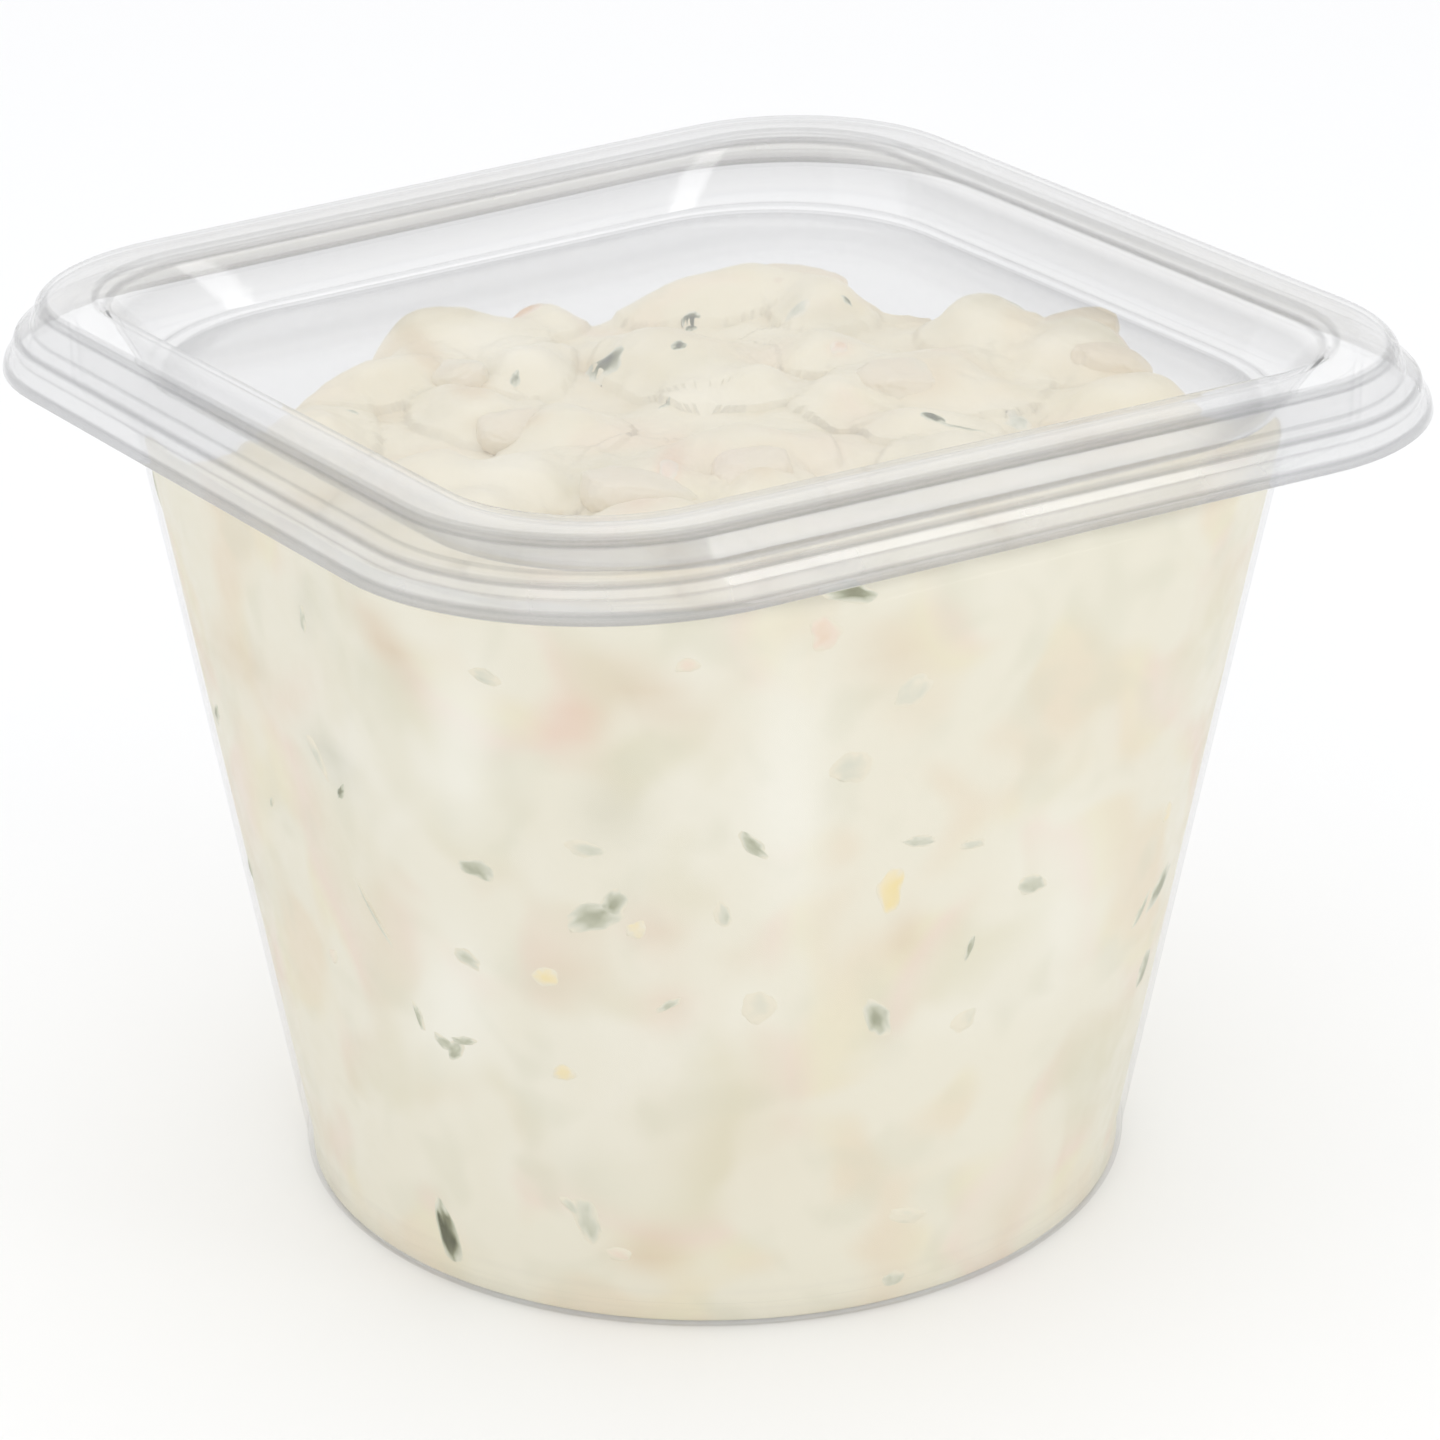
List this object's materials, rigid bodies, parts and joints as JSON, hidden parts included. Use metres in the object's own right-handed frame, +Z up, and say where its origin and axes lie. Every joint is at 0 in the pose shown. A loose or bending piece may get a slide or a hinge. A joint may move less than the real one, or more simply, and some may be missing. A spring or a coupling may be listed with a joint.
{
  "type": "potato salad in a clear deli tub",
  "caption": "Heap of creamy potato salad filling a clear tub, round at the foot and square at the mouth, with a clear press-on lid whose panel is sunken.",
  "frame": {"origin": "centre of the tub's foot on the surface that it stands on", "axes": "+Z up through the lid; X and Y along the square mouth's flat sides"},
  "size_m": [0.1208, 0.1208, 0.0951],
  "materials": {
    "tub_plastic": "clear thin thermoformed plastic, glossy",
    "lid_plastic": "clear thin thermoformed plastic, glossy, faintly hazy",
    "potato_salad": "moist cream dressing over potato pieces, with dark green herb flecks"
  },
  "bodies": {
    "root": {"tub": "tub_plastic", "lid": "lid_plastic", "salad": "potato_salad"}
  },
  "joints": []
}
